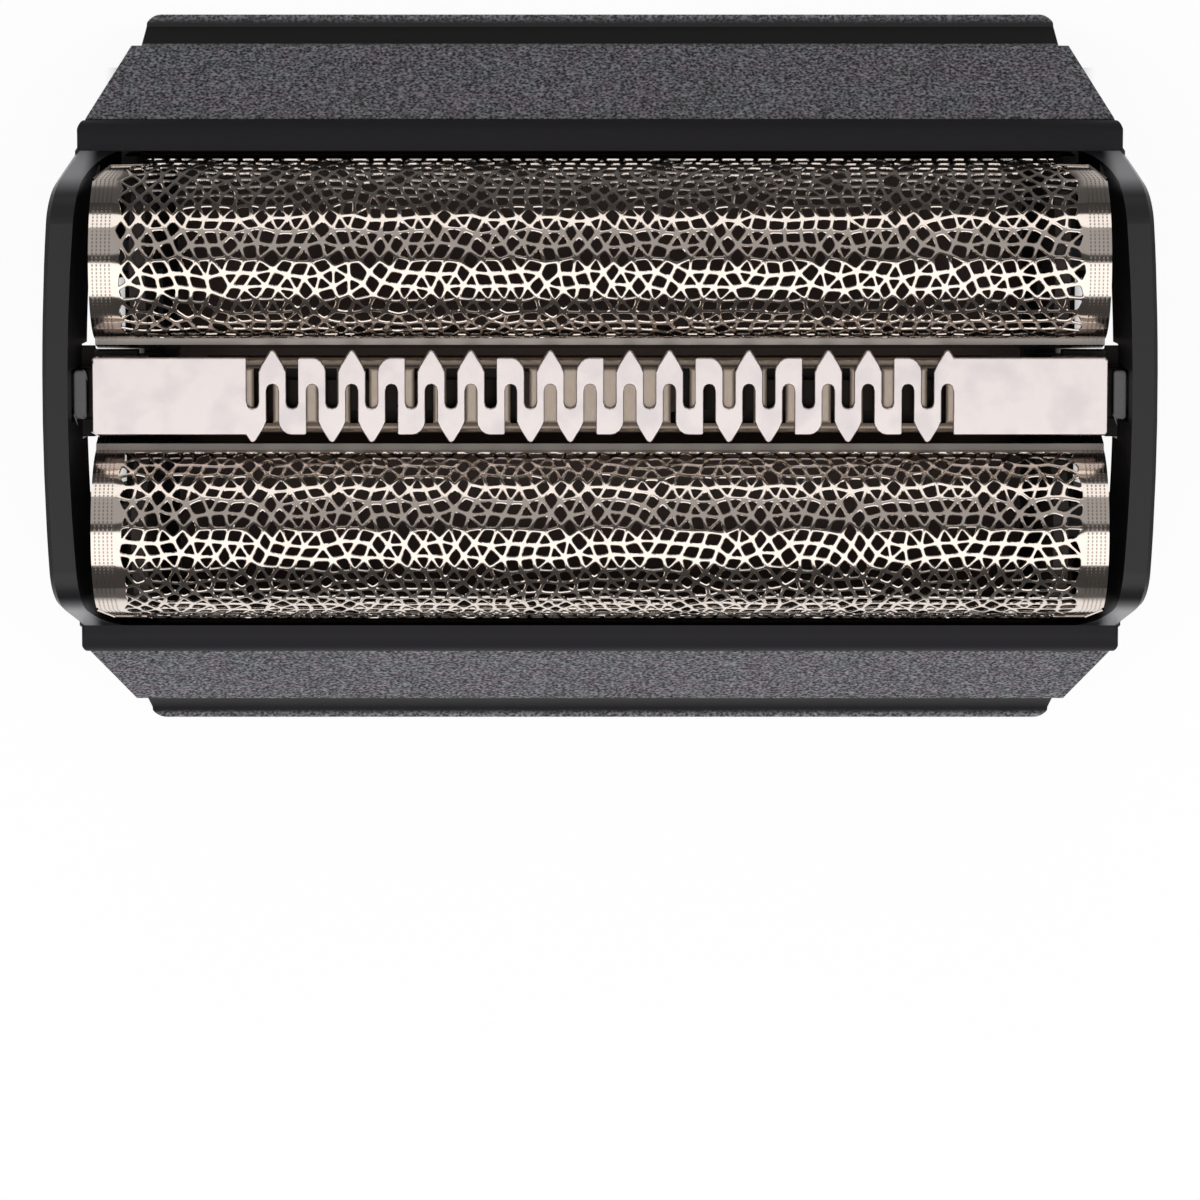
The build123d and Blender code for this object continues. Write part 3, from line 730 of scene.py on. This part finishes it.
def makeFoil(name, seed, facing):
    # both faces of the sheet, every edge between them and the hem
    rng = np.random.default_rng(seed)
    points, index = foilPoints(rng)
    groups = foilCells(points, rng)
    points = evenOut(points, groups, index, rng)
    rings = [foilRings(points, cells) for cells in groups]
    flat, drops, upper, lower = foilQuads(rings, foilMargins(points, index))
    hem, tubes = foilHem()
    count = len(flat)
    body = np.concatenate([foilBend(flat, drops), foilBend(flat, foil["thickness"]), hem])
    body[:, :2] *= facing
    faces = np.concatenate([upper, lower[:, ::-1] + count, foilWalls(upper, count), tubes + 2 * count])
    flat = np.concatenate([flat, flat, np.zeros((len(hem), 2))])
    used, faces = np.unique(faces, return_inverse=True)
    piece = addMesh(name, body[used], faces.reshape(-1, 4), flat[used], foil["sharp"])
    piece.data.materials.append(finishes["foil_metal"])
    print(name, "holes:", sum(len(cells) for cells in groups), "faces:", len(piece.data.polygons))
    return piece


for side, seed, facing in (("rear", 25, 1), ("front", 23, -1)):
    piece = makeFoil(side + "FoilMesh", seed, facing)
    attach(piece, side + "_foil_unit")
    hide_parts(side + "_foil")


# Floor, and a dark sheet of painted shade under the open bottom of the head, whose fade past its two ends is
# a painted contact shadow
stage = {
    "floorHalf": 2500.0,
    "floorHeight": -0.1,
    "floorGrey": 0.86,
    "padHalf": (27.4, 16.5),
    "padHeight": -0.05,
    "paintedShadeColour": (0.14, 0.104, 0.092),
    "paintedShadowFade": (24.9, 27.2),
    "shadow": 0.14,
    "glow": 1.07,
    # the mirrored stops and the side zone paint light and shadow on the floor as metal sees it: a painted
    # shadow at the head's front foot, a bright painted pool in front and beside its ends, dark behind
    "mirrored": [(-40, 0.05), (-33, 1.0), (-24, 1.0), (-21.4, 0.9), (-20.2, 0.1), (20, 0.05), (56, 0.02)],
    "mirrorHalf": 100.0,
    "mirrorEnd": (50, 90),
    "sidePaintedLight": 0.9,
    "sideStart": (25, 30),
    "sideAcross": ((-40, -33), (24, 44)),
}


def flatSheet(name, halfX, halfY, height):
    # one level rectangle about the origin
    corners = np.array([[-halfX, -halfY], [halfX, -halfY], [halfX, halfY], [-halfX, halfY]])
    points = np.concatenate([corners, np.full((4, 1), height)], 1)
    return addMesh(name, points, np.array([[0, 1, 2, 3]]))


def paintFloor(tree):
    # white to the eye, with a faint shadow; to metal it shows painted light and shadow: a bright pool painted
    # in front of and beside the head, dark at the head's front foot, under and behind it
    net = Wire(tree)
    tree.nodes.clear()
    seen = net.add("ShaderNodeLightPath", out="Is Camera Ray")
    mirrored = net.add("ShaderNodeLightPath", out="Is Glossy Ray")
    through = net.add("ShaderNodeLightPath", out="Is Transmission Ray")
    place = net.place()
    across = net.axis(place, "Y")
    along = net.math("ABSOLUTE", net.axis(place, "X"))
    half = stage["mirrorHalf"]
    span = net.add("ShaderNodeMapRange", {}, {"Value": across, "From Min": -half * mm, "From Max": half * mm})
    stops = [(0.5 + y / (2 * half), grey) for y, grey in stage["mirrored"]]
    front = net.add("ShaderNodeValToRGB", {"stops": stops}, {0: span})

    def zone(wire, limits):
        return wire.rise(limits[0] * mm, limits[1] * mm)

    first, last = stage["sideAcross"]
    beside = zone(along, stage["sideStart"]) * zone(across, first) * (1 - zone(across, last))
    beside = beside * stage["sidePaintedLight"]
    paintedLightPool = net.math("MAXIMUM", front, beside) * (1 - zone(along, stage["mirrorEnd"]))
    strength = (1 - mirrored * (1 - paintedLightPool)) * stage["glow"]
    lit = net.add("ShaderNodeBsdfDiffuse", {}, {"Color": (*[stage["floorGrey"]] * 3, 1)})
    glow = net.add("ShaderNodeEmission", {}, {"Color": (1, 1, 1, 1), "Strength": strength})
    direct = net.math("MINIMUM", seen + mirrored + through, 1.0) * (1 - stage["shadow"])
    mix = net.add("ShaderNodeMixShader", {}, {0: direct, 1: lit, 2: glow})
    out = tree.nodes.new("ShaderNodeOutputMaterial")
    tree.links.new(mix.socket, out.inputs["Surface"])


# painted shade: a dark brown sheet seen through the foil holes, whose alpha fades past both ends as a painted
# contact shadow
def paintShadeSheet(net):
    reach = net.math("ABSOLUTE", net.axis(net.place(), "X"))
    start, end = stage["paintedShadowFade"]
    return {
        "Base Color": (*stage["paintedShadeColour"], 1),
        "Roughness": 0.9,
        "Specular IOR Level": 0.0,
        "Alpha": 1 - reach.rise(start * mm, end * mm),
    }


floorFinish = bpy.data.materials.new("paleFloor")
floorFinish.use_nodes = True
paintFloor(floorFinish.node_tree)
floor = flatSheet("floor", stage["floorHalf"], stage["floorHalf"], stage["floorHeight"])
floor.data.materials.append(floorFinish)
shadeSheet = flatSheet("shadeSheet", *stage["padHalf"], stage["padHeight"])
shadeSheet.data.materials.append(makeFinish("paintedShadeSheet", paintShadeSheet))
print("stage ready")


# Soft boxes, in metres: a long one over the front, a dim one behind the crest and a narrow one low behind
lamps = {
    "front": {"turn": -25.0, "distance": 0.5, "size": (1.5, 0.46), "radiance": 1.35},
    "top": {"turn": 29.5, "distance": 0.5, "size": (0.6, 0.34), "radiance": 0.36},
    "rear": {"turn": 60.0, "distance": 0.5, "size": (0.3, 0.19), "radiance": 1.15},
}
for name, lamp in lamps.items():
    light = bpy.data.lights.new(name + "Box", "AREA")
    light.shape = "RECTANGLE"
    light.size, light.size_y = lamp["size"]
    light.energy = math.pi * lamp["radiance"] * light.size * light.size_y
    holder = bpy.data.objects.new(name + "Box", light)
    turn = math.radians(lamp["turn"])
    holder.location = (0, lamp["distance"] * math.sin(turn), lamp["distance"] * math.cos(turn))
    holder.rotation_euler = (-turn, 0, 0)
    bpy.context.scene.collection.objects.link(holder)

# Dim room, white where the camera sees it
room = {"dim": (0.055, 0.053, 0.052), "seen": (1, 1, 1)}
world = bpy.data.worlds.new("studio")
bpy.context.scene.world = world
world.use_nodes = True
sky = Wire(world.node_tree)
seen = sky.add("ShaderNodeLightPath", out="Is Camera Ray")
shade = seen.blend(room["dim"], room["seen"])
backdrop = sky.add("ShaderNodeBackground", {}, {"Color": shade, "Strength": 1.0})
world.node_tree.links.new(backdrop.socket, world.node_tree.nodes["World Output"].inputs["Surface"])
print("lights:", len(lamps))


# Camera in metres, over the head and a little to the rear, with the head in the upper half of the frame
view = {"distance": 0.3, "tilt": 6.0, "lens": 163.8, "sensor": 36, "shift": -0.1933, "clip": (0.01, 20)}
camera = bpy.data.objects.new("camera", bpy.data.cameras.new("camera"))
tilt = math.radians(view["tilt"])
camera.location = (0, view["distance"] * math.sin(tilt), view["distance"] * math.cos(tilt))
camera.rotation_euler = (-tilt, 0, 0)
camera.data.lens = view["lens"]
camera.data.sensor_width = view["sensor"]
camera.data.shift_y = view["shift"]
camera.data.clip_start, camera.data.clip_end = view["clip"]
bpy.context.scene.collection.objects.link(camera)
bpy.context.scene.camera = camera
bpy.context.scene.view_settings.view_transform = "Standard"
